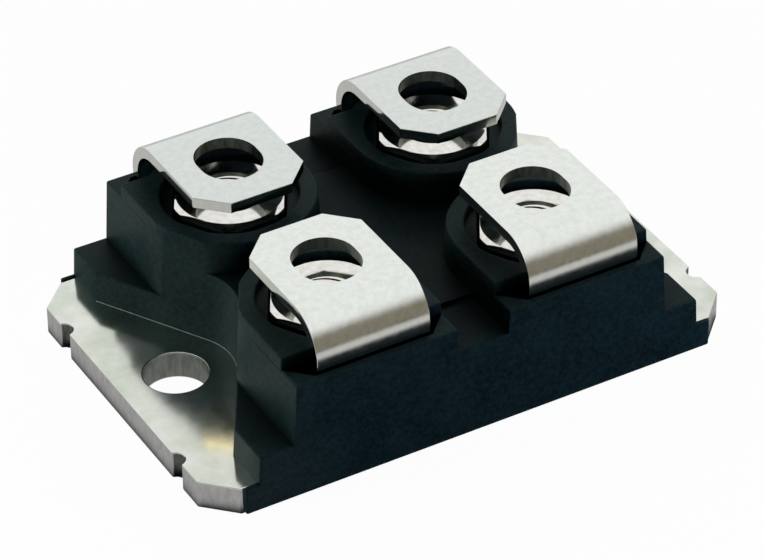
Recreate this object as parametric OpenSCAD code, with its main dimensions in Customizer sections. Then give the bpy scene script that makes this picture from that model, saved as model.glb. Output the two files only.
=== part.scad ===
// Isolated power module: a metal base plate, a moulded housing and four folded screw terminals
// over captive hex nuts, with the soldered chip assembly sealed inside.
// Millimetres. X runs along the length, Y across it and Z up.
// The origin is the centre of the base plate's underside.

/* [Base plate] */
// Length of the base plate
plate_l = 38.2; // [36.5:0.1:42]
// Width of the base plate
plate_w = 24.7; // [23.5:0.1:25.2]
// Thickness of the base plate
plate_t = 2; // [1.5:0.1:2.6]
// Chamfer across each corner of the base plate
plate_corner = 2; // [0.5:0.1:2.1]
// Distance of the mounting holes from the plate's ends
mount_edge = 4; // [3.4:0.1:4.4]
// Diameter of the mounting holes
mount_hole_d = 4.2; // [3.2:0.1:5]
// Radius of the small notches in the end edges
notch_r = 0.65; // [0.4:0.05:0.9]
// Distance of each notch from the long centre line
notch_y = 7.7; // [5:0.1:9]
// Depth of each notch, inwards from the end edge
notch_depth = 0.55; // [0.3:0.05:0.7]

/* [Housing] */
// Thickness of the rim along the plate's long edges
rim_t = 0.35; // [0.3:0.05:1.1]
// Bare length of the plate's straight long edge at each end of the rim
rim_gap = 0.15; // [0.1:0.05:0.3]
// Distance of the low corner steps from the plate's ends
step_set = 3.1; // [2.4:0.1:4]
// Height of the rim above the plate's top
rim_over = 0.1; // [0.05:0.05:0.3]
// Gap between the rim's underside and the plate's underside
rim_lift = 0.1; // [0:0.05:0.4]
// Height of the low corner steps above the plate's top
step_rise = 2.1; // [1.4:0.1:2.8]
// Height of the central channel's floor above the plate's top
floor_rise = 5.1; // [4.4:0.1:5.8]
// Drop from the channel's floor to the floor of the side gates
gate_drop = 0.3; // [0.1:0.05:0.5]
// Length of the side gates, inwards from the long sides
gate_l = 4.5; // [3:0.1:5]
// Height of the terminal ledges above the plate's top
ledge_rise = 6.5; // [6:0.1:6.9]
// Height of the pedestals above the plate's top
pedestal_rise = 7.4; // [7:0.1:7.8]
// Radius of the pedestal noses at their top
pedestal_r = 5.65; // [5.4:0.05:5.9]
// Depth of the ledges, inwards from the long sides
ledge_l = 2; // [1.8:0.1:2.2]
// Draft of the end walls and the pedestals, in degrees
draft = 3.5; // [0.5:0.5:6]
// Radius of the scoops round the mounting holes, at the plate
scoop_r = 3.9; // [3.6:0.05:4.3]
// Draft of the scoops, in degrees
scoop_draft = 2.5; // [0.5:0.5:5]
// Turn of the scoops' flat walls from the cross direction, in degrees
scoop_turn = 30; // [26:1:36]

/* [Terminals] */
// Distance of the terminal holes from the plate's ends
terminal_end = 11.55; // [11.35:0.05:11.75]
// Distance of the terminal holes from the housing's long sides
terminal_side = 6.35; // [6.2:0.05:6.5]
// Distance of the terminals' outer faces from the housing's long sides
terminal_set = 0.5; // [0.3:0.05:0.65]
// Width of the terminal strip
terminal_w = 8; // [7:0.1:9]
// Thickness of the terminal strip
terminal_t = 0.8; // [0.6:0.05:1]
// Height of the tabs' top above the pedestals
tab_rise = 2.6; // [2.2:0.1:3.2]
// Gap between facing tab tips
tab_gap = 3.8; // [3.2:0.1:5]
// Chamfer on the corners of the tab tips
tab_corner = 1.8; // [0.5:0.1:2.2]
// Width of the oval tab hole
tab_hole_w = 4.2; // [3.6:0.1:4.6]
// Length of the oval tab hole, across the width of the part
tab_hole_l = 4.8; // [4.7:0.1:5.4]
// Outer radius of the fold at the top of a terminal
fold_r = 2.7; // [2.2:0.05:2.9]
// Inner radius of the fold at the foot
foot_fold_r = 0.4; // [0.2:0.05:0.6]
// Width of the soldered foot
foot_w = 4.4; // [3:0.1:4.8]
// Length of the soldered foot
foot_l = 2.6; // [1.6:0.1:2.8]

/* [Nuts] */
// Size of the nuts across their flats
nut_af = 7; // [6.6:0.1:7.4]
// Thickness of the nuts
nut_h = 3.2; // [2.4:0.1:3.4]
// Diameter of the tapped hole, at the thread crests
nut_bore_d = 3.3; // [2.8:0.05:3.6]
// Diameter of the countersink at each end of the tapped hole
nut_sink_d = 4.4; // [4:0.05:4.8]
// Angle of the chamfer on the nut's corners, in degrees
nut_chamfer = 30; // [15:1:35]
// How much is turned off each of the nut's six corners
nut_turned = 0.22; // [0.05:0.01:0.3]
// Clearance between a nut's flats and its pocket
nut_clear = 0.15; // [0.05:0.05:0.25]
// Radius of the round recess above each hex pocket
recess_r = 4.5; // [4.45:0.05:4.8]
// Depth of the round recess
recess_depth = 0.6; // [0.3:0.1:1]
// Diameter of the screw-tip hole under each nut
tip_hole_d = 4.4; // [4:0.1:5]
// Depth of the screw-tip hole
tip_hole_depth = 0.9; // [0.5:0.1:1]

/* [Substrate and chips] */
// Distance of the ceramic from the plate's ends
ceramic_end = 8.6; // [8.4:0.05:8.7]
// Distance of the ceramic from the plate's long edges
ceramic_side = 2.35; // [2.15:0.05:2.55]
// Thickness of the ceramic
ceramic_t = 0.63; // [0.38:0.01:0.7]
// Thickness of the copper on each side of the ceramic
copper_t = 0.3; // [0.2:0.05:0.35]
// Bare edge of the ceramic round the copper
copper_margin = 0.5; // [0.3:0.05:0.6]
// Gap between neighbouring copper pads
track_gap = 0.6; // [0.4:0.05:0.8]
// Depth of the two pads along the gate side
back_pad_w = 4.3; // [4.2:0.1:4.5]
// Depth of the emitter pad
emitter_pad_w = 6.5; // [6:0.1:6.8]
// Copper left beside a terminal foot
foot_margin = 0.3; // [0.1:0.05:0.5]
// Distance of a foot's fold from the copper's edge
foot_set = 0.2; // [0.1:0.05:0.4]
// Thickness of the solder under the substrate
substrate_solder_t = 0.1; // [0.05:0.01:0.15]
// Thickness of the solder under the chips
chip_solder_t = 0.08; // [0.05:0.01:0.12]
// Thickness of the solder under the terminal feet
foot_solder_t = 0.1; // [0.05:0.01:0.15]
// Length of the IGBT chip
igbt_l = 7; // [6:0.1:7.2]
// Copper left on each side of the IGBT chip
chip_margin = 0.4; // [0.35:0.05:0.8]
// Length of the diode chip
diode_l = 4.4; // [3.4:0.1:4.6]
// Width of the diode chip
diode_w = 4.4; // [4:0.1:5.6]
// Thickness of the chips
chip_t = 0.2; // [0.12:0.01:0.25]
// Distance of the IGBT chip from the end of its pad
chip_set = 1.2; // [0.6:0.1:1.4]
// Gap between the two chips
chip_gap = 1.6; // [1.2:0.1:1.8]
// Diameter of the bond wires
wire_d = 0.38; // [0.25:0.01:0.5]
// Distance from a pad's inner edge to the wire's end on it
pad_land = 0.7; // [0.5:0.05:0.9]
// Distance from a chip's edge to the wire's end on it
chip_land = 1.2; // [1:0.05:1.5]
// Height of a wire's loop for each unit of its half span
loop_ratio = 0.65; // [0.5:0.05:0.8]
// Spacing of neighbouring bond wires
wire_pitch = 1.1; // [0.8:0.05:1.2]
// Number of bond wires on the IGBT chip
igbt_wire_count = 5; // [1:1:5]
// Number of bond wires on the diode chip
diode_wire_count = 3; // [1:1:3]

/* [Hidden] */
$fn = 64;

// Larger than the part, for cutting blocks
reach = 4 * plate_l;
// Overlap of a cutter past the face that it opens
past = plate_t / 2;
// Depth by which a flat sets into the round that it runs out of, so that the two cross and don't only touch
bite = terminal_t / 200;

// Lengths and widths, from the plate's edges inwards
mount_pitch = plate_l - 2 * mount_edge;
body_w = plate_w + 2 * rim_t;
body_l = plate_l - 2 * step_set;
rim_l = plate_l - 2 * (plate_corner + rim_gap);
terminal_pitch_x = plate_l - 2 * terminal_end;
terminal_pitch_y = body_w - 2 * terminal_side;
terminal_span = body_w - 2 * terminal_set;
ceramic_l = plate_l - 2 * ceramic_end;
ceramic_w = plate_w - 2 * ceramic_side;

// Heights, from the plate up
step_z = plate_t + step_rise;
floor_z = plate_t + floor_rise;
gate_z = floor_z - gate_drop;
ledge_z = plate_t + ledge_rise;
pedestal_z = plate_t + pedestal_rise;
tab_z = pedestal_z + tab_rise;
back_copper_z = plate_t + substrate_solder_t;
ceramic_z = back_copper_z + copper_t;
pad_z = ceramic_z + ceramic_t;
pad_top = pad_z + copper_t;
foot_z = pad_top + foot_solder_t;
chip_z = pad_top + chip_solder_t;
nut_z = pedestal_z - nut_h;

// Terminal places: side along X and side along Y
GATE = [-1, 1];
SENSE = [1, 1];
EMITTER = [-1, -1];
COLLECTOR = [1, -1];
CORNERS = [GATE, SENSE, EMITTER, COLLECTOR];
ENDS = [-1, 1];

// Fold centres of a terminal, as distance from the long centre line and height
fold_y = terminal_span / 2 - fold_r;
fold_z = tab_z - fold_r;
foot_fold_out = foot_fold_r + terminal_t;
foot_y = ceramic_w / 2 - copper_margin - foot_set;
foot_fold_z = foot_z + foot_fold_out;
// Lean of the leg that is tangent to both folds
leg_run = fold_y - foot_y;
leg_drop = fold_z - foot_fold_z;
leg_lean = acos((foot_fold_out - fold_r) / norm([leg_run, leg_drop])) - atan2(leg_drop, leg_run);

// Copper outline and pads
copper_x = ceramic_l / 2 - copper_margin;
copper_y = ceramic_w / 2 - copper_margin;
back_pad_y = copper_y - back_pad_w;
emitter_y = emitter_pad_w - copper_y;
collector_back_y = back_pad_y - track_gap;
collector_front_y = emitter_y + track_gap;
foot_edge_x = terminal_pitch_x / 2 - foot_w / 2 - foot_margin;

// Chips, on the middle of the collector pad
chip_y = (collector_back_y + collector_front_y) / 2;
igbt_w = collector_back_y - collector_front_y - 2 * chip_margin;
igbt_x = chip_set + igbt_l / 2 - copper_x;
diode_x = igbt_x + igbt_l / 2 + chip_gap + diode_l / 2;

// Radius of a pedestal at height z
function nose_r(z) = pedestal_r + (pedestal_z - z) * tan(draft);

// Half the length of the core at height z: it ends inside the noses, where the scoops' walls meet them
function core_x(z) = terminal_pitch_x / 2 + nose_r(z) * cos(scoop_turn);

// Half the length of the low corner steps at height z
function step_x(z) = body_l / 2 - (z - plate_t) * tan(draft);

// Turn and length by which a fold and the leg run on into each other, so that the leg crosses both rounds
function lap_turn(outer) = acos(1 - bite / (outer - terminal_t / 2));
function lap_l(outer) = (outer - terminal_t / 2) * sin(lap_turn(outer));

// Copies a piece that is drawn on the +Y side about its own hole axis to one terminal's place
module at_terminal(place) {
    translate([place[0] * terminal_pitch_x / 2, 0, 0])
        rotate([0, 0, place[1] > 0 ? 0 : 180])
            children();
}

// A block in the X-Z plane, given by its outline, from y = from to y = to
module across(from, to) {
    translate([0, to, 0])
        rotate([90, 0, 0])
            linear_extrude(to - from)
                children();
}

// A box from its low corner to its high corner
module box(low, high) {
    translate(low)
        cube(high - low);
}

// A box under a flat plan: from low X, Y to high X, Y and of one thickness
module slab(low, high, z, thick) {
    box([low[0], low[1], z], [high[0], high[1], z + thick]);
}

module base_plate() {
    half_l = plate_l / 2;
    half_w = plate_w / 2;
    notch_x = half_l - notch_depth + notch_r;
    color("#b9b8b0")
        linear_extrude(plate_t)
            difference() {
                polygon([
                    [half_l - plate_corner, -half_w], [half_l, plate_corner - half_w],
                    [half_l, half_w - plate_corner], [half_l - plate_corner, half_w],
                    [plate_corner - half_l, half_w], [-half_l, half_w - plate_corner],
                    [-half_l, plate_corner - half_w], [plate_corner - half_l, -half_w]
                ]);
                for (end = ENDS) {
                    translate([end * mount_pitch / 2, 0])
                        circle(d = mount_hole_d);
                    for (side = ENDS)
                        translate([end * notch_x, side * notch_y])
                            circle(notch_r);
                }
            }
}

// All points short of a wall that stands at a distance along a turned direction and leans away upwards
module short_of(turn, distance, lean) {
    rotate([0, 0, turn])
        translate([distance, 0, plate_t])
            rotate([0, lean, 0])
                translate([-reach, -reach / 2, -reach / 2])
                    cube(reach);
}

// Drafted clearance round a mounting hole: a cone with two flat walls tangent to it, open at the end
module scoop() {
    tall = pedestal_z - plate_t + past;
    chord_lean = atan(tan(scoop_draft) * cos(scoop_turn));
    translate([0, 0, plate_t])
        cylinder(h = tall, r1 = scoop_r, r2 = scoop_r + tall * tan(scoop_draft));
    intersection() {
        short_of(scoop_turn, scoop_r - bite, scoop_draft);
        short_of(-scoop_turn, scoop_r - bite, scoop_draft);
        short_of(0, scoop_r * cos(scoop_turn), chord_lean);
        translate([-reach, -reach / 2, plate_t])
            cube([2 * reach, reach, tall]);
    }
}

// Outline of a drafted block between two heights, with half its length at each
module drafted(low_z, low_x, high_z, high_x) {
    polygon([[-low_x, low_z], [low_x, low_z], [high_x, high_z], [-high_x, high_z]]);
}

// One pedestal about its nut axis: round nose, straight sides and the lower ledge outside it
module pedestal() {
    nut_y = terminal_pitch_y / 2;
    side_y = body_w / 2;
    translate([0, nut_y, step_z])
        cylinder(h = pedestal_z - step_z, r1 = nose_r(step_z), r2 = pedestal_r);
    across(nut_y, side_y - ledge_l)
        drafted(step_z, nose_r(step_z) - bite, pedestal_z, pedestal_r - bite);
    across(nut_y, side_y)
        drafted(step_z, nose_r(step_z) - bite, ledge_z, nose_r(ledge_z) - bite);
}

// Round recess, hex pocket and screw-tip hole of one nut
module nut_pocket() {
    translate([0, terminal_pitch_y / 2, 0]) {
        translate([0, 0, pedestal_z - recess_depth])
            cylinder(h = recess_depth + past, r = recess_r);
        translate([0, 0, nut_z])
            cylinder(h = nut_h + past, d = (nut_af + 2 * nut_clear) / cos(30), $fn = 6);
        translate([0, 0, nut_z - tip_hole_depth])
            cylinder(h = tip_hole_depth + past, d = tip_hole_d);
    }
}

// The moulding before anything is cut from it
module housing_blank() {
    half_w = body_w / 2;
    across(-half_w, half_w)
        drafted(plate_t, step_x(plate_t), step_z, step_x(step_z));
    difference() {
        across(-half_w, half_w)
            drafted(step_z, core_x(step_z), floor_z, core_x(floor_z));
        for (side = ENDS)
            translate([-terminal_pitch_x / 2, side > 0 ? half_w - gate_l : -half_w - past, gate_z])
                cube([terminal_pitch_x, gate_l + past, gate_drop + past]);
    }
    for (place = CORNERS)
        at_terminal(place)
            pedestal();
    for (side = ENDS)
        translate([-rim_l / 2, side > 0 ? plate_w / 2 : -half_w, rim_lift])
            cube([rim_l, half_w - plate_w / 2, plate_t + rim_over - rim_lift]);
}

module housing() {
    color("#1d2426")
        difference() {
            housing_blank();
            for (end = ENDS)
                rotate([0, 0, end < 0 ? 0 : 180])
                    translate([-mount_pitch / 2, 0, 0])
                        scoop();
            for (place = CORNERS)
                at_terminal(place) {
                    nut_pocket();
                    strip();
                }
            sealed_pieces();
        }
}

// Ring sector between two angles, in a terminal's profile
module fold(outer, from, to) {
    middle = (from + to) / 2;
    far = 2 * outer;
    intersection() {
        difference() {
            circle(outer);
            circle(outer - terminal_t);
        }
        polygon([
            [0, 0], far * [cos(from), sin(from)],
            far * [cos(middle), sin(middle)], far * [cos(to), sin(to)]
        ]);
    }
}

// Turns a profile in distance and height into a strip of one width along X
module strip_of(width) {
    rotate([90, 0, 90])
        linear_extrude(width, center = true)
            children();
}

// Folded strip from the end of the tab down to the soldered foot
module strip() {
    out = [cos(leg_lean), -sin(leg_lean)];
    up = [sin(leg_lean), cos(leg_lean)];
    top = [fold_y, fold_z] + lap_l(fold_r) * up - bite * out;
    heel = [foot_y, foot_fold_z] - lap_l(foot_fold_out) * up - bite * out;
    strip_of(terminal_w) {
        translate([fold_y, fold_z])
            fold(fold_r, -leg_lean - lap_turn(fold_r), 90);
        polygon([
            top + fold_r * out, top + (fold_r - terminal_t) * out,
            heel + foot_fold_r * out, heel + foot_fold_out * out
        ]);
    }
    strip_of(foot_w) {
        translate([foot_y, foot_fold_z])
            fold(foot_fold_out, -90, lap_turn(foot_fold_out) - leg_lean);
        translate([foot_y - foot_l, foot_z])
            square([foot_l, terminal_t]);
    }
}

// Flat tab over the nut, with chamfered tip corners and an oval hole
module tab() {
    tip_y = tab_gap / 2;
    half_w = terminal_w / 2;
    hole_y = terminal_pitch_y / 2;
    slide = (tab_hole_l - tab_hole_w) / 2;
    translate([0, 0, tab_z - terminal_t])
        linear_extrude(terminal_t)
            difference() {
                polygon([
                    [-half_w, fold_y], [-half_w, tip_y + tab_corner], [tab_corner - half_w, tip_y],
                    [half_w - tab_corner, tip_y], [half_w, tip_y + tab_corner], [half_w, fold_y]
                ]);
                for (end = ENDS)
                    translate([0, hole_y + end * slide])
                        circle(d = tab_hole_w);
                translate([-tab_hole_w / 2, hole_y - slide])
                    square([tab_hole_w, 2 * slide]);
            }
}

module terminal(place) {
    color("#d8d7cf")
        at_terminal(place) {
            strip();
            tab();
        }
}

// Hex nut with chamfered corners and a countersunk tapped hole
module nut(place) {
    hex_r = nut_af / 2 / cos(30);
    corner_r = hex_r - nut_turned;
    bevel_h = (corner_r - nut_af / 2) * tan(nut_chamfer);
    sink_h = (nut_sink_d - nut_bore_d) / 2;
    color("#cfcec8")
        at_terminal(place)
            translate([0, terminal_pitch_y / 2, nut_z])
                difference() {
                    intersection() {
                        cylinder(h = nut_h, r = hex_r, $fn = 6);
                        rotate_extrude()
                            polygon([
                                [0, 0], [nut_af / 2, 0], [corner_r, bevel_h],
                                [corner_r, nut_h - bevel_h], [nut_af / 2, nut_h], [0, nut_h]
                            ]);
                    }
                    translate([0, 0, -past])
                        cylinder(h = nut_h + 2 * past, d = nut_bore_d);
                    cylinder(h = sink_h, d1 = nut_sink_d, d2 = nut_bore_d);
                    translate([0, 0, nut_h - sink_h])
                        cylinder(h = sink_h, d1 = nut_bore_d, d2 = nut_sink_d);
                }
}

module substrate_solder() {
    color("#8f8f88")
        slab([-copper_x, -copper_y], [copper_x, copper_y], plate_t, substrate_solder_t);
}

module back_copper() {
    color("#b8734a")
        slab([-copper_x, -copper_y], [copper_x, copper_y], back_copper_z, copper_t);
}

module ceramic() {
    color("#e8e4da")
        slab([-ceramic_l / 2, -ceramic_w / 2], [ceramic_l / 2, ceramic_w / 2], ceramic_z, ceramic_t);
}

module gate_pad() {
    color("#b8734a")
        slab([-copper_x, back_pad_y], [-foot_edge_x, copper_y], pad_z, copper_t);
}

module sense_pad() {
    color("#b8734a")
        slab([track_gap - foot_edge_x, back_pad_y], [copper_x, copper_y], pad_z, copper_t);
}

module emitter_pad() {
    color("#b8734a")
        slab([-copper_x, -copper_y], [foot_edge_x - track_gap, emitter_y], pad_z, copper_t);
}

module collector_pad() {
    color("#b8734a") {
        slab([-copper_x, collector_front_y], [copper_x, collector_back_y], pad_z, copper_t);
        slab([foot_edge_x, -copper_y], [copper_x, collector_back_y], pad_z, copper_t);
    }
}

// A chip-sized plate about the middle of a chip
module chip_slab(x, size, z, thick) {
    slab([x, chip_y] - size / 2, [x, chip_y] + size / 2, z, thick);
}

module chip_solder() {
    color("#8f8f88") {
        chip_slab(igbt_x, [igbt_l, igbt_w], pad_top, chip_solder_t);
        chip_slab(diode_x, [diode_l, diode_w], pad_top, chip_solder_t);
    }
}

module igbt_chip() {
    color("#6f7480")
        chip_slab(igbt_x, [igbt_l, igbt_w], chip_z, chip_t);
}

module diode_chip() {
    color("#6f7480")
        chip_slab(diode_x, [diode_l, diode_w], chip_z, chip_t);
}

// One bond wire: an arc that stands on a pad and ends on a chip
module bond_wire(x, end_pad, end_chip) {
    half_span = abs(end_chip - end_pad) / 2;
    loop_h = loop_ratio * half_span;
    arc_r = (half_span ^ 2 + loop_h ^ 2) / (2 * loop_h);
    middle = (end_pad + end_chip) / 2;
    color("#d9d9d6")
        difference() {
            intersection() {
                translate([x, middle, pad_top + loop_h - arc_r])
                    rotate([0, 90, 0])
                        rotate_extrude()
                            translate([arc_r, 0])
                                circle(d = wire_d);
                translate([x - wire_d, middle - 2 * arc_r, pad_top])
                    cube([2 * wire_d, 4 * arc_r, 4 * arc_r]);
            }
            igbt_chip();
            diode_chip();
            chip_solder();
        }
}

// A row of bond wires from one chip to the emitter pad
module wire_row(count, x, chip_w) {
    for (i = [0 : count - 1])
        bond_wire(x + (i - (count - 1) / 2) * wire_pitch,
                  emitter_y - pad_land, chip_y - chip_w / 2 + chip_land);
}

module emitter_wires() {
    wire_row(igbt_wire_count, igbt_x, igbt_w);
}

module diode_wires() {
    wire_row(diode_wire_count, diode_x, diode_w);
}

module gate_wire() {
    bond_wire(-foot_edge_x - chip_land, back_pad_y + pad_land, chip_y + igbt_w / 2 - chip_land);
}

module sense_wire() {
    bond_wire(track_gap - foot_edge_x + chip_land, back_pad_y + pad_land, chip_y + igbt_w / 2 - chip_land);
}

module terminal_solder() {
    color("#8f8f88")
        for (place = CORNERS)
            at_terminal(place)
                slab([-foot_w / 2, foot_y - foot_l], [foot_w / 2, foot_y], pad_top, foot_solder_t);
}

// Everything that the moulding compound closes over
module sealed_pieces() {
    substrate_solder();
    back_copper();
    ceramic();
    gate_pad();
    sense_pad();
    emitter_pad();
    collector_pad();
    chip_solder();
    igbt_chip();
    diode_chip();
    emitter_wires();
    diode_wires();
    gate_wire();
    sense_wire();
    terminal_solder();
}

base_plate();
housing();
terminal(GATE);  // gate_terminal
terminal(SENSE);  // sense_terminal
terminal(EMITTER);  // emitter_terminal
terminal(COLLECTOR);  // collector_terminal
nut(GATE);  // gate_nut
nut(SENSE);  // sense_nut
nut(EMITTER);  // emitter_nut
nut(COLLECTOR);  // collector_nut
substrate_solder();
back_copper();
ceramic();
gate_pad();
sense_pad();
emitter_pad();
collector_pad();
chip_solder();
igbt_chip();
diode_chip();
emitter_wires();
diode_wires();
gate_wire();
sense_wire();
terminal_solder();
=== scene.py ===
"""Finish of an isolated power module with four screw terminals.

Makes edge-broken copies of the moulded and stamped pieces, tapped nuts, their materials, a plain studio and
the camera. Sizes on the part are in millimetres, and MM turns them to metres. Lamps are placed in metres."""
import math

import bmesh
import bpy
from mathutils import Matrix, Vector


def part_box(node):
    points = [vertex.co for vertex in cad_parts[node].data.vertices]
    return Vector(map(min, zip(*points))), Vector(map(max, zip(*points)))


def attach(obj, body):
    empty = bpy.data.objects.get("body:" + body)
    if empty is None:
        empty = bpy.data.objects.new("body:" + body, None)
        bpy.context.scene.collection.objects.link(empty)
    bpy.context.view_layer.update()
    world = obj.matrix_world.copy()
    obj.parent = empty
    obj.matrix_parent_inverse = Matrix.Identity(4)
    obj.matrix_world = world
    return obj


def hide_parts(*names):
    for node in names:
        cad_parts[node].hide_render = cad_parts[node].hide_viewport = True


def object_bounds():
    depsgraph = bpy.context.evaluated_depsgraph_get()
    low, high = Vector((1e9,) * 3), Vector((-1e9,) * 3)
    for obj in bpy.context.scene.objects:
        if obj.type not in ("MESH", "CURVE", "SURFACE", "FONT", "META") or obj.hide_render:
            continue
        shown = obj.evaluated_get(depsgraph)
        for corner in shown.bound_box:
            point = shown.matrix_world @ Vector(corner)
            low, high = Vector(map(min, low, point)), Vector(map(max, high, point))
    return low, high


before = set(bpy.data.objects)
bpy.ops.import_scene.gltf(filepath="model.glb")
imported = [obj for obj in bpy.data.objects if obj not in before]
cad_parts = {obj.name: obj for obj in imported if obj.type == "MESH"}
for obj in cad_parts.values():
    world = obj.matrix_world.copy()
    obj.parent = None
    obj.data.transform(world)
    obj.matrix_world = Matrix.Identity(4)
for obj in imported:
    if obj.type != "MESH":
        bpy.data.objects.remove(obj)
cad_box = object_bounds()
MM = 0.001
BODY = "root"
TERMINALS = ["gate_terminal", "sense_terminal", "emitter_terminal", "collector_terminal"]
NUTS = ["gate_nut", "sense_nut", "emitter_nut", "collector_nut"]


def centre(node):
    """Middle of a CAD node's box, in metres."""
    low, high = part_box(node)
    return (low + high) / 2


# Places on the part, in millimetres from the middle of its underside, and the sizes that give them
HALF_LENGTH, HALF_WIDTH, TAB_TOP = (value / MM for value in cad_box[1])
PLATE_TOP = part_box("base_plate")[1].z / MM
STRIP_T = 0.8
TAB_UNDERSIDE = TAB_TOP - STRIP_T
SCREW = centre("sense_nut") / MM
BOLT_SET = 4.0
BOLT_X = HALF_LENGTH - BOLT_SET
NOTCH_Y = 7.7
# How near a point lies to a screw's axis, a plate hole's axis or a notch's middle to belong to it
SCREW_REACH = 3.3
BOLT_REACH = 2.3
NOTCH_REACH = 0.62
# Bands at the plate's ends and along the part's sides, which hold the notches and the housing's rim
END_BAND = 0.7
NOTCH_X = HALF_LENGTH - END_BAND
SIDE_BAND = 0.5
RIM_Y = HALF_WIDTH - SIDE_BAND
# Lines just inside the scoops and just outside the sealed pieces
SCOOP_X = 10.5
SEALED_X = 11.0
SEALED_TOP = 5.7
# Corners closer than this are one, in metres
WELD = 0.0005 * MM
# Degrees past which an edge is broken, and past which shading keeps it sharp
BROKEN_DEG = 35
CREASE_DEG = 32
# Upward share of a normal under which a face stands upright
UPRIGHT = 0.3


# Small helpers for materials

def linear(code):
    """Linear colour of an sRGB hex code."""
    channels = [int(code[i:i + 2], 16) / 255 for i in (1, 3, 5)]
    return [c / 12.92 if c <= 0.04045 else ((c + 0.055) / 1.055) ** 2.4 for c in channels] + [1.0]


def feed(tree, node, inputs):
    """Sets a node's inputs, by name or number. Each is a value or the output socket that feeds it."""
    for name, value in inputs.items():
        if isinstance(value, bpy.types.NodeSocket):
            tree.links.new(value, node.inputs[name])
        else:
            node.inputs[name].default_value = value


def add(tree, kind, inputs=None, ramp=(), **settings):
    """Adds a node with its inputs and settings. A ramp gives the place and colour of each of its stops.

    A Mix node's inputs go by number: 0 is the share, 2 and 3 are numbers, and 6 and 7 are colours."""
    made = tree.nodes.new(kind)
    for name, value in settings.items():
        setattr(made, name, value)
    feed(tree, made, inputs or {})
    for index, (position, code) in enumerate(ramp):
        made.color_ramp.elements[index].position = position
        made.color_ramp.elements[index].color = linear(code)
    return made


def new_material(name):
    """An empty material with its node tree, its shader and the object's own coordinates."""
    material = bpy.data.materials.new(name)
    material.use_nodes = True
    tree = material.node_tree
    tree.nodes.clear()
    shader = add(tree, "ShaderNodeBsdfPrincipled")
    add(tree, "ShaderNodeOutputMaterial", {"Surface": shader.outputs["BSDF"]})
    place = add(tree, "ShaderNodeTexCoord")
    return material, tree, shader, place.outputs["Object"]


def per_mm(size):
    """Scale of a noise whose grain has a size in millimetres."""
    return 1 / (size * MM)


# Materials

def make_moulding_compound():
    """Black epoxy moulding compound from a fine-blasted tool.

    A dull satin with a tight grain and pale specks of filler, drawn coarser than the real filler. Creases
    and hollows, which an occlusion node finds, are painted near black: painted shade."""
    material, tree, shader, place = new_material("black_moulding_compound")
    grain_mm = 0.16
    grain_depth_mm = 0.02
    speck_mm = 0.3
    speck_share = 0.6
    cloud_mm = 3.0
    crease_shade_mm = 4.0
    grain = add(tree, "ShaderNodeTexNoise", {"Vector": place, "Scale": per_mm(grain_mm), "Detail": 3.0})
    specks = add(tree, "ShaderNodeTexNoise", {"Vector": place, "Scale": per_mm(speck_mm), "Detail": 2.0})
    cloud = add(tree, "ShaderNodeTexNoise", {"Vector": place, "Scale": per_mm(cloud_mm), "Detail": 4.0})
    mottle = add(tree, "ShaderNodeMix", {0: speck_share, 2: cloud.outputs["Fac"], 3: specks.outputs["Fac"]})
    tone = add(tree, "ShaderNodeValToRGB", {"Fac": mottle.outputs[0]},
               ramp=[(0.34, "#101c1c"), (0.66, "#1f2e2d")])
    # Painted shade: where the occlusion node finds creases and hollows, the colour goes to near black.
    open_share = add(tree, "ShaderNodeAmbientOcclusion", {"Distance": crease_shade_mm * MM},
                     only_local=True, samples=8)
    open_face = add(tree, "ShaderNodeMapRange",
                    {"Value": open_share.outputs["AO"], "From Min": 0.5, "From Max": 0.97},
                    interpolation_type="SMOOTHSTEP")
    painted_crease_shade_tone = add(tree, "ShaderNodeMix",
               {0: open_face.outputs["Result"], 6: linear("#050b0c"), 7: tone.outputs["Color"]},
               data_type="RGBA")
    gloss = add(tree, "ShaderNodeMapRange", {"Value": cloud.outputs["Fac"], "From Min": 0.3, "From Max": 0.7,
                                             "To Min": 0.4, "To Max": 0.48})
    bump = add(tree, "ShaderNodeBump", {"Height": grain.outputs["Fac"], "Strength": 0.25,
                                        "Distance": grain_depth_mm * MM})
    feed(tree, shader, {"Base Color": painted_crease_shade_tone.outputs[2], "Roughness": gloss.outputs["Result"],
                        "Normal": bump.outputs["Normal"], "IOR": 1.5, "Specular IOR Level": 0.07,
                        "Specular Tint": linear("#d4f0f0")})
    return material


def make_plate_nickel():
    """Satin nickel on rolled copper: a soft mirror with rolling lines along the length and dull smears."""
    material, tree, shader, place = new_material("satin_nickel_on_copper")
    line_mm = 0.12
    line_depth_mm = 0.01
    smear_mm = 3.0
    stretch = add(tree, "ShaderNodeMapping", {"Vector": place, "Scale": (0.06, 1.0, 1.0)})
    lines = add(tree, "ShaderNodeTexNoise",
                {"Vector": stretch.outputs["Vector"], "Scale": per_mm(line_mm), "Detail": 2.0})
    smear = add(tree, "ShaderNodeTexNoise",
                {"Vector": place, "Scale": per_mm(smear_mm), "Detail": 5.0, "Roughness": 0.6})
    tone = add(tree, "ShaderNodeValToRGB", {"Fac": smear.outputs["Fac"]},
               ramp=[(0.35, "#c7cdc0"), (0.65, "#e2e5de")])
    gloss = add(tree, "ShaderNodeMapRange", {"Value": smear.outputs["Fac"], "From Min": 0.3, "From Max": 0.7,
                                             "To Min": 0.11, "To Max": 0.17})
    bump = add(tree, "ShaderNodeBump", {"Height": lines.outputs["Fac"], "Strength": 0.06,
                                        "Distance": line_depth_mm * MM})
    feed(tree, shader, {"Base Color": tone.outputs["Color"], "Roughness": gloss.outputs["Result"],
                        "Normal": bump.outputs["Normal"], "Metallic": 1.0})
    return material


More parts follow.
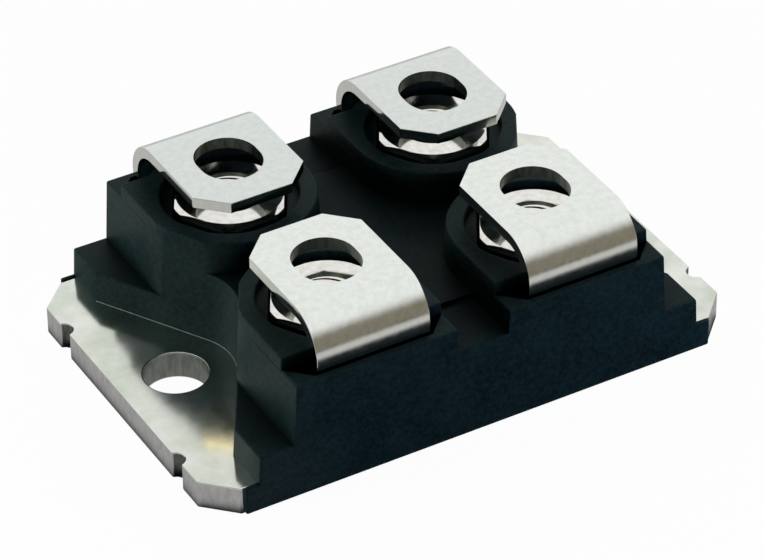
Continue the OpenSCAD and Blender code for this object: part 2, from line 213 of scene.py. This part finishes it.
def make_sheared_edge():
    """The plate's punched edge under its nickel: dull mid grey, mottled, with faint upright tear marks."""
    material, tree, shader, place = new_material("nickel_on_sheared_copper")
    tear_mm = 0.35
    tear_depth_mm = 0.03
    stretch = add(tree, "ShaderNodeMapping", {"Vector": place, "Scale": (1.0, 1.0, 0.45)})
    tears = add(tree, "ShaderNodeTexNoise",
                {"Vector": stretch.outputs["Vector"], "Scale": per_mm(tear_mm), "Detail": 3.0})
    tone = add(tree, "ShaderNodeValToRGB", {"Fac": tears.outputs["Fac"]},
               ramp=[(0.3, "#b0b0b1"), (0.7, "#c6c6c6")])
    bump = add(tree, "ShaderNodeBump", {"Height": tears.outputs["Fac"], "Strength": 0.2,
                                        "Distance": tear_depth_mm * MM})
    feed(tree, shader, {"Base Color": tone.outputs["Color"], "Normal": bump.outputs["Normal"],
                        "Metallic": 1.0, "Roughness": 0.36})
    return material


def make_strip_nickel(name, low, high):
    """Nickel on folded copper strip: a clear sheen, with fine lines along the fold and handling marks."""
    material, tree, shader, place = new_material(name)
    line_mm = 0.16
    line_depth_mm = 0.01
    mark_mm = 0.5
    stretch = add(tree, "ShaderNodeMapping", {"Vector": place, "Scale": (0.05, 1.0, 1.0)})
    lines = add(tree, "ShaderNodeTexNoise",
                {"Vector": stretch.outputs["Vector"], "Scale": per_mm(line_mm), "Detail": 2.0})
    marks = add(tree, "ShaderNodeTexNoise",
                {"Vector": place, "Scale": per_mm(mark_mm), "Detail": 5.0, "Roughness": 0.65})
    tone = add(tree, "ShaderNodeValToRGB", {"Fac": marks.outputs["Fac"]}, ramp=[(0.3, low), (0.62, high)])
    gloss = add(tree, "ShaderNodeMapRange", {"Value": marks.outputs["Fac"], "From Min": 0.3, "From Max": 0.7,
                                             "To Min": 0.14, "To Max": 0.22})
    bump = add(tree, "ShaderNodeBump", {"Height": lines.outputs["Fac"], "Strength": 0.12,
                                        "Distance": line_depth_mm * MM})
    feed(tree, shader, {"Base Color": tone.outputs["Color"], "Roughness": gloss.outputs["Result"],
                        "Normal": bump.outputs["Normal"], "Metallic": 1.0})
    return material


def make_blanked_edge():
    """The strip's punched edges under the same nickel: burnished by the punch, so they mirror clearly."""
    material, tree, shader, place = new_material("bright_nickel_on_blanked_edge")
    score_mm = 0.2
    stretch = add(tree, "ShaderNodeMapping", {"Vector": place, "Scale": (1.0, 1.0, 0.1)})
    scores = add(tree, "ShaderNodeTexNoise",
                 {"Vector": stretch.outputs["Vector"], "Scale": per_mm(score_mm), "Detail": 2.0})
    tone = add(tree, "ShaderNodeValToRGB", {"Fac": scores.outputs["Fac"]},
               ramp=[(0.3, "#cfd0cc"), (0.7, "#d6d7d3")])
    feed(tree, shader, {"Base Color": tone.outputs["Color"], "Metallic": 1.0, "Roughness": 0.07})
    return material


def make_torn_wall(name, low, high):
    """Walls of holes and notches that a tool tore: thin nickel over rough metal, dull and darker. The darkest
    copy is painted near black as painted shade.
    """
    material, tree, shader, place = new_material(name)
    tear_mm = 0.3
    tear_depth_mm = 0.03
    stretch = add(tree, "ShaderNodeMapping", {"Vector": place, "Scale": (1.0, 1.0, 0.3)})
    tears = add(tree, "ShaderNodeTexNoise",
                {"Vector": stretch.outputs["Vector"], "Scale": per_mm(tear_mm), "Detail": 3.0})
    tone = add(tree, "ShaderNodeValToRGB", {"Fac": tears.outputs["Fac"]}, ramp=[(0.3, low), (0.7, high)])
    bump = add(tree, "ShaderNodeBump", {"Height": tears.outputs["Fac"], "Strength": 0.25,
                                        "Distance": tear_depth_mm * MM})
    feed(tree, shader, {"Base Color": tone.outputs["Color"], "Normal": bump.outputs["Normal"],
                        "Metallic": 1.0, "Roughness": 0.34})
    return material


def make_nut_nickel():
    """Bright nickel on turned steel: sharp reflections with a faint mottle."""
    material, tree, shader, place = new_material("bright_nickel_on_steel")
    mark_mm = 0.5
    marks = add(tree, "ShaderNodeTexNoise", {"Vector": place, "Scale": per_mm(mark_mm), "Detail": 4.0})
    tone = add(tree, "ShaderNodeValToRGB", {"Fac": marks.outputs["Fac"]},
               ramp=[(0.3, "#d8d6cf"), (0.7, "#ebeae6")])
    feed(tree, shader, {"Base Color": tone.outputs["Color"], "Metallic": 1.0, "Roughness": 0.08})
    return material


def make_mottled_finish(name, low, high, grain_mm, metallic, roughness):
    """Plain finish of a piece that is sealed in the moulding, or a trace of resin, with its own mottle."""
    material, tree, shader, place = new_material(name)
    grain = add(tree, "ShaderNodeTexNoise", {"Vector": place, "Scale": per_mm(grain_mm), "Detail": 3.0})
    tone = add(tree, "ShaderNodeValToRGB", {"Fac": grain.outputs["Fac"]}, ramp=[(0.3, low), (0.7, high)])
    feed(tree, shader, {"Base Color": tone.outputs["Color"], "Metallic": metallic, "Roughness": roughness})
    return material


compound = make_moulding_compound()
plate_nickel = make_plate_nickel()
sheared_edge = make_sheared_edge()
front_strip = make_strip_nickel("bright_nickel_on_strip", "#dbdfd9", "#e8ece7")
# The back pair's copy of the strip nickel is painted darker, standing in for the dimmer light they reflect:
# painted shade.
back_strip_painted_darker = make_strip_nickel("nickel_on_strip_painted_darker", "#ced4cf", "#dadfdb")
blanked_edge = make_blanked_edge()
bolt_hole_wall = make_torn_wall("thin_nickel_on_torn_copper", "#7c807d", "#9a9d98")
# Painted shade: the walls of the plate's notches, the tabs' holes and the nuts' mouth steps take this
# near-black colour, where shade falls.
wall_painted_dark_shade = make_torn_wall("torn_copper_wall_painted_shade", "#4a524e", "#6b726c")
nut_nickel = make_nut_nickel()
# The resin bead is real; its light grey colour is a painted highlight.
resin_flash_painted_highlight = make_mottled_finish("thin_resin_flash_painted_light", "#5c615d", "#80857f", 0.5, 0.0, 0.4)
solder = make_mottled_finish("tin_solder", "#858580", "#a3a39d", 0.4, 1.0, 0.42)
copper = make_mottled_finish("bare_copper", "#b06a42", "#c98257", 0.6, 1.0, 0.35)
alumina = make_mottled_finish("sintered_alumina", "#e2dfd6", "#eeebe3", 0.2, 0.0, 0.6)
silicon = make_mottled_finish("metallised_silicon", "#666b76", "#7d828d", 0.5, 1.0, 0.3)
wire_metal = make_mottled_finish("drawn_aluminium_wire", "#cfcfcd", "#e0e0de", 0.2, 1.0, 0.25)


# Small helpers for pieces

def only(piece):
    """Makes one object the only selected and active one."""
    bpy.ops.object.select_all(action="DESELECT")
    piece.select_set(True)
    bpy.context.view_layer.objects.active = piece


def merged_copy(node, name):
    """A copy of a CAD node with its loose triangles merged and its flats made whole faces again."""
    piece = bpy.data.objects.new(name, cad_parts[node].data.copy())
    bpy.context.scene.collection.objects.link(piece)
    only(piece)
    flat_deg = 0.4
    bpy.ops.object.mode_set(mode="EDIT")
    bpy.ops.mesh.select_all(action="SELECT")
    bpy.ops.mesh.remove_doubles(threshold=WELD)
    bpy.ops.mesh.dissolve_limited(angle_limit=math.radians(flat_deg))
    bpy.ops.object.mode_set(mode="OBJECT")
    if piece.data.has_custom_normals:
        bpy.ops.mesh.customdata_custom_splitnormals_clear()
    return piece


def select_edges(piece, wanted):
    """Enters edit mode with only the edges selected that wanted() picks."""
    only(piece)
    bpy.ops.object.mode_set(mode="EDIT")
    bpy.ops.mesh.select_mode(type="EDGE")
    bpy.ops.mesh.select_all(action="DESELECT")
    mesh = bmesh.from_edit_mesh(piece.data)
    for edge in mesh.edges:
        edge.select = wanted(edge)
    mesh.select_flush_mode()
    bmesh.update_edit_mesh(piece.data)


def middle(edge):
    """Middle of an edge, in millimetres."""
    return (edge.verts[0].co + edge.verts[1].co) / 2 / MM


def break_edges(piece, radius, sharp, left_alone=None):
    """Rounds a piece's outer edges that turn by more than sharp degrees, but not those left alone."""

    def outer(edge):
        turned = len(edge.link_faces) == 2 and edge.is_convex
        if not turned or edge.calc_face_angle() <= math.radians(sharp):
            return False
        return left_alone is None or not left_alone(middle(edge))

    select_edges(piece, outer)
    bpy.ops.mesh.bevel(offset=radius, segments=2, profile=0.5, clamp_overlap=False)
    bpy.ops.object.mode_set(mode="OBJECT")


def smooth(piece, sharp):
    """Smooth shading that keeps the flats flat."""
    only(piece)
    bpy.ops.object.shade_smooth_by_angle(angle=math.radians(sharp))
    piece.modifiers.new("flat_faces", "WEIGHTED_NORMAL").keep_sharp = True
    bpy.ops.object.modifier_apply(modifier="flat_faces")


def finish(piece, slot, *nodes):
    """Puts a finished piece in the place of its CAD nodes."""
    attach(piece, BODY)
    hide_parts(*nodes)


def give(piece, *materials):
    """Sets a piece's materials."""
    piece.data.materials.clear()
    for material in materials:
        piece.data.materials.append(material)


def cut(piece, tool):
    """Cuts a tool's shape out of a piece and removes the tool."""
    only(piece)
    taken = piece.modifiers.new("cut", "BOOLEAN")
    taken.operation = "DIFFERENCE"
    taken.solver = "EXACT"
    taken.object = tool
    bpy.ops.object.modifier_apply(modifier="cut")
    bpy.data.objects.remove(tool)


def upright(face):
    """True for a face that stands upright, or nearly so."""
    return abs(face.normal.z) < UPRIGHT


def on_plate(p):
    """True for a point of the housing's foot, where it meets the plate's top."""
    level = 0.01
    return abs(p.z - PLATE_TOP) < level and abs(p.y) < RIM_Y


def in_bolt_hole(p):
    """True for a point of one of the plate's two holes."""
    return math.hypot(abs(p.x) - BOLT_X, p.y) < BOLT_REACH


def in_notch(p):
    """True for a point of one of the four notches in the plate's ends."""
    return abs(p.x) > NOTCH_X and abs(abs(p.y) - NOTCH_Y) < NOTCH_REACH


def in_tab_hole(p):
    """True for a point of the oval hole in a terminal's tab, its lower rim too."""
    slack = 0.1
    out = math.hypot(abs(p.x) - SCREW.x, abs(p.y) - SCREW.y)
    return p.z > TAB_UNDERSIDE - slack and out < SCREW_REACH


# Pieces

def make_housing():
    """The moulding with its outer edges rounded as its tool leaves them."""
    piece = merged_copy("housing", "moulded_housing")
    edge_r = 0.14 * MM

    def sealed_or_foot(p):
        sealed = p.z < SEALED_TOP and abs(p.x) < SEALED_X and abs(p.y) < RIM_Y
        return sealed or on_plate(p)

    break_edges(piece, edge_r, BROKEN_DEG, sealed_or_foot)
    give(piece, compound)
    smooth(piece, CREASE_DEG)
    finish(piece, "moulding_compound", "housing")


def make_foot_flash():
    """The fine line of resin that crept out on the plate along the foot of both scoops. Its light grey stands
    in for the light it catches: a painted highlight.
    """
    piece = merged_copy("housing", "foot_flash")
    bead_r = 0.035 * MM

    def not_foot(edge):
        level = all(on_plate(corner.co / MM) for corner in edge.verts)
        walls = [face for face in edge.link_faces if upright(face)]
        return not (level and len(walls) == 1 and abs(middle(edge).x) > SCOOP_X)

    select_edges(piece, not_foot)
    bpy.ops.mesh.delete(type="EDGE_FACE")
    bpy.ops.mesh.select_all(action="SELECT")
    bpy.ops.mesh.delete_loose(use_verts=True, use_edges=False, use_faces=False)
    bpy.ops.object.mode_set(mode="OBJECT")
    bpy.ops.object.convert(target="CURVE")
    piece = bpy.context.active_object
    piece.data.bevel_depth = bead_r
    piece.data.bevel_resolution = 1
    piece.data.use_fill_caps = True
    bpy.ops.object.convert(target="MESH")
    piece = bpy.context.active_object
    give(piece, resin_flash_painted_highlight)
    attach(piece, BODY)


def make_base_plate():
    """The punched plate: edges broken, bright faces, dull sheared sides, torn holes, and notches whose walls
    are painted dark as shade.
    """
    piece = merged_copy("base_plate", "punched_plate")
    edge_r = 0.1 * MM
    break_edges(piece, edge_r, BROKEN_DEG)
    give(piece, plate_nickel, sheared_edge, bolt_hole_wall, wall_painted_dark_shade)
    for face in piece.data.polygons:
        if not upright(face):
            continue
        if in_bolt_hole(face.center / MM):
            face.material_index = 2
        # The notch walls take the colour painted dark as shade.
        elif in_notch(face.center / MM):
            face.material_index = 3
        else:
            face.material_index = 1
    smooth(piece, CREASE_DEG)
    finish(piece, "plated_copper_plate", "base_plate")


def make_terminal(node):
    """A folded terminal with its blanked edges broken and the wall of its hole painted dark as shade."""
    piece = merged_copy(node, node + "_strip")
    edge_r = 0.08 * MM
    side_on = 0.9
    break_edges(piece, edge_r, BROKEN_DEG, in_tab_hole)
    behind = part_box(node)[0].y > 0
    # The back terminals take the strip nickel painted darker as shade.
    give(piece, back_strip_painted_darker if behind else front_strip, blanked_edge, wall_painted_dark_shade)
    for face in piece.data.polygons:
        tab_edge = upright(face) and face.center.z / MM > TAB_UNDERSIDE
        # The hole's wall takes the colour painted dark as shade.
        if tab_edge and in_tab_hole(face.center / MM):
            face.material_index = 2
        elif tab_edge or abs(face.normal.x) > side_on:
            face.material_index = 1
    smooth(piece, CREASE_DEG)
    finish(piece, "plated_terminal", node)


def make_tap():
    """The helical groove of an M4 thread as a solid coil on the Z axis, longer than the nut at both ends."""
    pitch = 0.7 * MM
    inner = 1.55 * MM
    root = 2.0 * MM
    mouth = 0.32 * MM
    tip = 0.05 * MM
    turns = 7
    steps = 64
    start_deg = 300
    profile = [(inner, -mouth), (root, -tip), (root, tip), (inner, mouth)]
    bpy.ops.object.select_all(action="DESELECT")
    bpy.ops.mesh.primitive_circle_add(vertices=len(profile), radius=root)
    tap = bpy.context.active_object
    for vertex, (across, up) in zip(tap.data.vertices, profile):
        vertex.co = (across, 0, up - turns / 2 * pitch)
    coil = tap.modifiers.new("coil", "SCREW")
    coil.axis = "Z"
    coil.screw_offset = pitch
    coil.iterations = turns
    coil.steps = steps
    coil.render_steps = steps
    bpy.ops.object.modifier_apply(modifier="coil")
    bpy.ops.object.mode_set(mode="EDIT")
    bpy.ops.mesh.select_all(action="SELECT")
    bpy.ops.mesh.remove_doubles(threshold=WELD)
    bpy.ops.mesh.fill_holes(sides=len(profile))
    bpy.ops.mesh.normals_make_consistent(inside=False)
    bpy.ops.object.mode_set(mode="OBJECT")
    tap.data.transform(Matrix.Rotation(math.radians(start_deg), 4, "Z"))
    return tap


def make_lip(radius, depth, top):
    """The tool for the step at a nut's mouth, half of it above the nut's top."""
    sides = 96
    bpy.ops.object.select_all(action="DESELECT")
    bpy.ops.mesh.primitive_cylinder_add(vertices=sides, radius=radius, depth=2 * depth, location=(0, 0, top))
    bpy.ops.object.transform_apply(location=True)
    return bpy.context.active_object


def make_nuts():
    """One nut with its corners eased, its thread cut and its mouth stepped, the step's wall painted dark as
    shade, then its copies.
    """
    first = merged_copy(NUTS[0], NUTS[0] + "_tapped")
    low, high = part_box(NUTS[0])
    edge_r = 0.025 * MM
    edge_deg = 65
    lip_r = 2.23 * MM
    lip_depth = 0.17 * MM
    near_lip = 0.03 * MM
    thread_deg = 20
    first.data.transform(Matrix.Translation(-centre(NUTS[0])))
    break_edges(first, edge_r, edge_deg)
    cut(first, make_tap())
    cut(first, make_lip(lip_r, lip_depth, (high.z - low.z) / 2))
    give(first, nut_nickel, wall_painted_dark_shade)
    # The wall of the mouth's step takes the colour painted dark as shade.
    for face in first.data.polygons:
        out = math.hypot(face.center.x, face.center.y)
        if upright(face) and abs(out - lip_r) < near_lip:
            face.material_index = 1
    smooth(first, thread_deg)
    pattern = first.data.copy()
    for name in NUTS:
        piece = first
        if name != NUTS[0]:
            piece = bpy.data.objects.new(name + "_tapped", pattern.copy())
            bpy.context.scene.collection.objects.link(piece)
        piece.data.transform(Matrix.Translation(centre(name)))
        finish(piece, "plated_nut", name)
    bpy.data.meshes.remove(pattern)


make_housing()
make_foot_flash()
make_base_plate()
for terminal in TERMINALS:
    make_terminal(terminal)
make_nuts()
SEALED_FINISHES = [
    (solder, ["substrate_solder", "chip_solder", "terminal_solder"]),
    (copper, ["back_copper", "gate_pad", "sense_pad", "emitter_pad", "collector_pad"]),
    (alumina, ["ceramic"]),
    (silicon, ["igbt_chip", "diode_chip"]),
    (wire_metal, ["emitter_wires", "diode_wires", "gate_wire", "sense_wire"]),
]
for sealed_material, sealed_nodes in SEALED_FINISHES:
    for sealed_node in sealed_nodes:
        give(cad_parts[sealed_node], sealed_material)


# Studio

def make_table_white():
    """White paper to the camera. In reflections and bounced light its colour carries painted shade.

    A dark patch is painted in front of the module where its shadow would lie, the table is painted dimmer far
    in front, and a painted contact shadow rings the plate's edge."""
    shade_patch_front = (-34 * MM, -25 * MM)
    shade_patch_back = (-12.4 * MM, -13.2 * MM)
    shade_patch_left = (-14 * MM, -8 * MM)
    far_front = (-45 * MM, -110 * MM)
    plate_corner = 2.0 * MM
    shade_reach = (0.7 * MM, -0.1 * MM)
    under_plate = (-1.6 * MM, -1.1 * MM)
    under_share = 0.3
    glow_share = 0.97
    material = bpy.data.materials.new("white_table")
    material.use_nodes = True
    tree = material.node_tree
    tree.nodes.clear()
    place = add(tree, "ShaderNodeTexCoord")
    part = add(tree, "ShaderNodeSeparateXYZ", {"Vector": place.outputs["Object"]})

    # The painted shade patch in front of the module, and the painted dim far front
    front = add(tree, "ShaderNodeMapRange",
                {"Value": part.outputs["Y"], "From Min": shade_patch_front[0], "From Max": shade_patch_front[1]},
                interpolation_type="SMOOTHSTEP")
    back = add(tree, "ShaderNodeMapRange",
               {"Value": part.outputs["Y"], "From Min": shade_patch_back[0], "From Max": shade_patch_back[1]})
    left = add(tree, "ShaderNodeMapRange",
               {"Value": part.outputs["X"], "From Min": shade_patch_left[0], "From Max": shade_patch_left[1]},
               interpolation_type="SMOOTHSTEP")
    depth = add(tree, "ShaderNodeMath", {0: front.outputs["Result"], 1: back.outputs["Result"]},
                operation="MULTIPLY")
    painted_shade_patch = add(tree, "ShaderNodeMath", {0: depth.outputs[0], 1: left.outputs["Result"]},
               operation="MULTIPLY")
    far = add(tree, "ShaderNodeMapRange",
              {"Value": part.outputs["Y"], "From Min": far_front[0], "From Max": far_front[1]},
              interpolation_type="SMOOTHSTEP")
    # Far in front the table's colour is painted dimmer and warmer: painted shade.
    white = add(tree, "ShaderNodeMix",
                {0: far.outputs["Result"], 6: linear("#d0cfcd"), 7: linear("#797266")}, data_type="RGBA")

    # How far a point is outside the plate's outline, and the shade that follows from it
    along = add(tree, "ShaderNodeMath", {0: part.outputs["X"]}, operation="ABSOLUTE")
    across = add(tree, "ShaderNodeMath", {0: part.outputs["Y"]}, operation="ABSOLUTE")
    past_end = add(tree, "ShaderNodeMath", {0: along.outputs[0], 1: HALF_LENGTH * MM}, operation="SUBTRACT")
    past_side = add(tree, "ShaderNodeMath", {0: across.outputs[0], 1: HALF_WIDTH * MM}, operation="SUBTRACT")
    past_both = add(tree, "ShaderNodeMath", {0: past_end.outputs[0], 1: past_side.outputs[0]},
                    operation="ADD")
    past_corner = add(tree, "ShaderNodeMath",
                      {0: past_both.outputs[0], 1: math.sqrt(0.5), 2: plate_corner * math.sqrt(0.5)},
                      operation="MULTIPLY_ADD")
    past_edge = add(tree, "ShaderNodeMath", {0: past_end.outputs[0], 1: past_side.outputs[0]},
                    operation="MAXIMUM")
    outside = add(tree, "ShaderNodeMath", {0: past_edge.outputs[0], 1: past_corner.outputs[0]},
                  operation="MAXIMUM")
    shade = add(tree, "ShaderNodeMapRange",
                {"Value": outside.outputs[0], "From Min": shade_reach[0], "From Max": shade_reach[1]},
                interpolation_type="SMOOTHSTEP")
    under = add(tree, "ShaderNodeMapRange",
                {"Value": outside.outputs[0], "From Min": under_plate[0], "From Max": under_plate[1],
                 "To Min": under_share, "To Max": 1.0})
    ring = add(tree, "ShaderNodeMath", {0: shade.outputs["Result"], 1: under.outputs["Result"]},
               operation="MULTIPLY")
    dark = add(tree, "ShaderNodeMath", {0: painted_shade_patch.outputs[0], 1: ring.outputs[0]}, operation="MAXIMUM")
    # The painted shade patch and painted contact shadow darken the table's colour, which reflections and
    # bounced light see.
    tone = add(tree, "ShaderNodeMix", {0: dark.outputs[0], 6: white.outputs[2], 7: linear("#202224")},
               data_type="RGBA")

    # What the camera, mirrors and plain surfaces see
    paper = add(tree, "ShaderNodeBsdfDiffuse", {"Color": linear("#f4f4f4")})
    light = add(tree, "ShaderNodeEmission", {"Color": linear("#ffffff"), "Strength": 1.0})
    seen = add(tree, "ShaderNodeMixShader", {0: glow_share, 1: paper.outputs[0], 2: light.outputs[0]})
    path = add(tree, "ShaderNodeLightPath")
    mirrored = add(tree, "ShaderNodeMath",
                   {0: path.outputs["Is Glossy Ray"], 1: path.outputs["Is Transmission Ray"]},
                   operation="MAXIMUM")
    bounced = add(tree, "ShaderNodeBsdfDiffuse", {"Color": tone.outputs[2]})
    reflected = add(tree, "ShaderNodeEmission", {"Color": tone.outputs[2], "Strength": 1.0})
    unseen = add(tree, "ShaderNodeMixShader",
                 {0: mirrored.outputs[0], 1: bounced.outputs[0], 2: reflected.outputs[0]})
    mixed = add(tree, "ShaderNodeMixShader",
                {0: path.outputs["Is Camera Ray"], 1: unseen.outputs[0], 2: seen.outputs[0]})
    add(tree, "ShaderNodeOutputMaterial", {"Surface": mixed.outputs[0]})
    return material


def make_floor():
    """A white table that keeps a faint shadow."""
    table_size = 2.0
    below = 0.03 * MM
    bpy.ops.object.select_all(action="DESELECT")
    bpy.ops.mesh.primitive_plane_add(size=table_size, location=(0, 0, -below))
    floor = bpy.context.active_object
    floor.name = "table"
    floor.data.materials.append(make_table_white())


def make_world():
    """White to the camera, with a faint cool fill.

    Reflections see white behind and overhead, a dim warm room in front and a warm lamp to the left."""
    room_front = (0.35, -0.35)
    room_height = (0.8, 0.4)
    fill_strength = 0.06
    lamp_way = (-0.71, -0.35, 0.61)
    lamp_edge_deg = 12
    lamp_core_deg = 4
    lamp_strength = 3.0
    world = bpy.data.worlds.new("studio")
    bpy.context.scene.world = world
    world.use_nodes = True
    tree = world.node_tree
    tree.nodes.clear()
    path = add(tree, "ShaderNodeLightPath")
    mirrored = add(tree, "ShaderNodeMath",
                   {0: path.outputs["Is Glossy Ray"], 1: path.outputs["Is Transmission Ray"]},
                   operation="MAXIMUM")
    toward = add(tree, "ShaderNodeTexCoord")
    part = add(tree, "ShaderNodeSeparateXYZ", {"Vector": toward.outputs["Generated"]})
    front = add(tree, "ShaderNodeMapRange",
                {"Value": part.outputs["Y"], "From Min": room_front[0], "From Max": room_front[1]},
                interpolation_type="SMOOTHSTEP")
    low = add(tree, "ShaderNodeMapRange",
              {"Value": part.outputs["Z"], "From Min": room_height[0], "From Max": room_height[1]},
              interpolation_type="SMOOTHSTEP")
    dim = add(tree, "ShaderNodeMath", {0: front.outputs["Result"], 1: low.outputs["Result"]},
              operation="MULTIPLY")
    room = add(tree, "ShaderNodeMix", {0: dim.outputs[0], 6: linear("#ffffff"), 7: linear("#878073")},
               data_type="RGBA")
    plain = add(tree, "ShaderNodeBackground", {"Color": room.outputs[2], "Strength": 1.0})
    aim = add(tree, "ShaderNodeVectorMath", {0: toward.outputs["Generated"], 1: lamp_way},
              operation="DOT_PRODUCT")
    glow = add(tree, "ShaderNodeMapRange",
               {"Value": aim.outputs["Value"], "From Min": math.cos(math.radians(lamp_edge_deg)),
                "From Max": math.cos(math.radians(lamp_core_deg))}, interpolation_type="SMOOTHSTEP")
    bulb = add(tree, "ShaderNodeBackground", {"Color": linear("#ffe6b4"), "Strength": lamp_strength})
    studio = add(tree, "ShaderNodeMixShader",
                 {0: glow.outputs["Result"], 1: plain.outputs[0], 2: bulb.outputs[0]})
    fill = add(tree, "ShaderNodeBackground", {"Color": linear("#cfe0f4"), "Strength": fill_strength})
    lit = add(tree, "ShaderNodeMixShader", {0: mirrored.outputs[0], 1: fill.outputs[0], 2: studio.outputs[0]})
    white = add(tree, "ShaderNodeBackground", {"Color": linear("#ffffff"), "Strength": 1.0})
    mixed = add(tree, "ShaderNodeMixShader",
                {0: path.outputs["Is Camera Ray"], 1: lit.outputs[0], 2: white.outputs[0]})
    add(tree, "ShaderNodeOutputWorld", {"Surface": mixed.outputs[0]})


def make_lamp(name, place, target, size, power, colour):
    """A soft box that faces a point, left out of reflections and of the picture."""
    data = bpy.data.lights.new(name, "AREA")
    data.shape = "SQUARE"
    data.size = size
    data.energy = power
    data.color = linear(colour)[:3]
    lamp = bpy.data.objects.new(name, data)
    bpy.context.scene.collection.objects.link(lamp)
    lamp.location = place
    lamp.rotation_mode = "QUATERNION"
    lamp.rotation_quaternion = (Vector(target) - Vector(place)).to_track_quat("-Z", "Y")
    lamp.visible_glossy = False
    lamp.visible_camera = False


def make_camera():
    """The photograph's view: from the front left, a long lens, 36 degrees above the table."""
    place_mm = Vector((-107.244, -188.053, 163.081))
    heading_deg = -29.8027
    height_deg = 35.9468
    roll_deg = -0.5349
    data = bpy.data.cameras.new("view")
    data.sensor_fit = "HORIZONTAL"
    data.sensor_width = 36.0
    data.lens = 196.721
    data.shift_x = -0.00873
    data.shift_y = -0.04155
    data.clip_start = 0.01
    data.clip_end = 10.0
    camera = bpy.data.objects.new("view", data)
    bpy.context.scene.collection.objects.link(camera)
    heading = Matrix.Rotation(math.radians(heading_deg), 4, "Z")
    tilt = Matrix.Rotation(math.radians(90 - height_deg), 4, "X")
    roll = Matrix.Rotation(math.radians(roll_deg), 4, "Z")
    camera.matrix_world = Matrix.Translation(place_mm * MM) @ heading @ tilt @ roll
    bpy.context.scene.camera = camera


make_floor()
make_world()
make_lamp("back_softbox", place=(0.30, 0.34, 0.34), target=(0, 0, 0),
          size=0.2, power=1.3, colour="#fff8ee")
make_lamp("side_softbox", place=(-0.085, 0.025, 0.026), target=(-0.016, 0.004, 0.005),
          size=0.06, power=0.058, colour="#f4fbff")
make_lamp("front_softbox", place=(0.09, -0.085, 0.032), target=(0.008, -0.012, 0.005),
          size=0.06, power=0.155, colour="#b8d0fa")
make_camera()
bpy.context.scene.view_settings.view_transform = "Standard"
